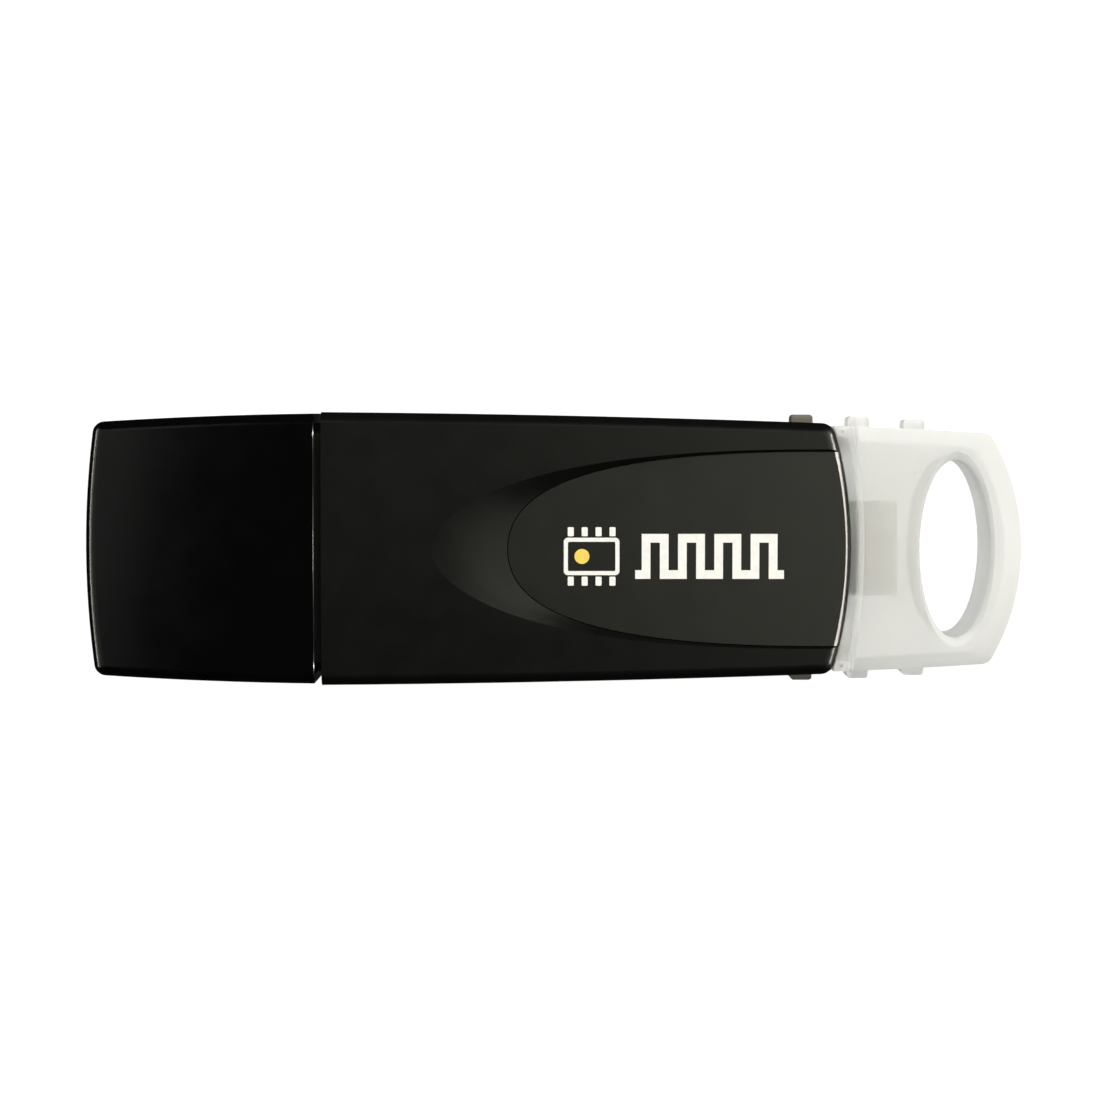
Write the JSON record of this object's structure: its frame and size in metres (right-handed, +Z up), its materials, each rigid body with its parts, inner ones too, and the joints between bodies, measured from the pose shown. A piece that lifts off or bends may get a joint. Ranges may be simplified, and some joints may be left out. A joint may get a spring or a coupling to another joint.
{
  "type": "usb microcontroller programmer",
  "caption": "Capped USB stick programmer with a black split housing, an inlaid panel in a thumb scoop, a milky tail with a lanyard hole, side latches and a circuit board inside.",
  "frame": {"origin": "on the surface that the stick lies on, under the middle of its length and width with the cap on", "axes": "+X along the stick from the cap to the tail, +Y across it, +Z up out of the panel"},
  "size_m": [0.0776, 0.0226, 0.0094],
  "materials": {
    "black_shell": "moulded satin black plastic with fine texture",
    "black_panel": null,
    "milky_plastic": "milky translucent plastic, satin",
    "smoky_plastic": "milky translucent plastic, seen dark where it lies inside the black shell",
    "green_board": "green solder mask on glass fibre board",
    "plated_steel": "nickel-plated sheet steel",
    "white_insulator": "white moulded plastic",
    "gold_plate": "gold flash plating",
    "chip_black": "moulded chip package",
    "tinned_leads": "tinned copper",
    "can_metal": "crystal lid, plated steel",
    "tantalum_yellow": "moulded capacitor body",
    "fuse_green": "resettable fuse body",
    "resistor_black": "resistor film on ceramic, tinned ends",
    "capacitor_tan": "ceramic capacitor, tinned ends",
    "light_lens": "clear lens on a white base",
    "cream_plastic": "cream moulded plastic"
  },
  "bodies": {
    "housing": {"top_shell": "black_shell", "bottom_shell": "black_shell", "badge_panel": "black_panel", "tail": "milky_plastic", "circuit_board": "green_board", "usb_plug_shell": "plated_steel", "usb_plug_insulator": "white_insulator", "usb_plug_contacts": "gold_plate", "microcontroller": "chip_black", "interface_chip": "chip_black", "memory_chip": "chip_black", "voltage_regulator": "chip_black", "microcontroller_leads": "tinned_leads", "interface_chip_leads": "tinned_leads", "memory_chip_leads": "tinned_leads", "voltage_regulator_leads": "tinned_leads", "crystal": "can_metal", "tantalum_capacitor": "tantalum_yellow", "resettable_fuse": "fuse_green", "chip_resistors": "resistor_black", "chip_capacitors": "capacitor_tan", "power_light": "light_lens", "activity_light": "light_lens", "programming_header": "cream_plastic", "header_pins": "gold_plate"},
    "cap": {"cap": "black_shell"},
    "latch_left": {"latch_arm_left": "smoky_plastic"},
    "latch_right": {"latch_arm_right": "smoky_plastic"}
  },
  "joints": [
    {"name": "cap_pull", "type": "slide", "parent": "housing", "child": "cap", "axis": [-1, 0, 0], "range_m": [0, 0.025]},
    {"name": "latch_left_press", "type": "hinge", "parent": "housing", "child": "latch_left", "pos_m": [0.0239, 0.00838, 0.0047], "axis": [0, 0, 1], "range_deg": [0, 9.5], "stiffness_Nm_per_rad": 0.12},
    {"name": "latch_right_press", "type": "hinge", "parent": "housing", "child": "latch_right", "pos_m": [0.0239, -0.00838, 0.0047], "axis": [0, 0, -1], "range_deg": [0, 9.5], "stiffness_Nm_per_rad": 0.12}
  ]
}
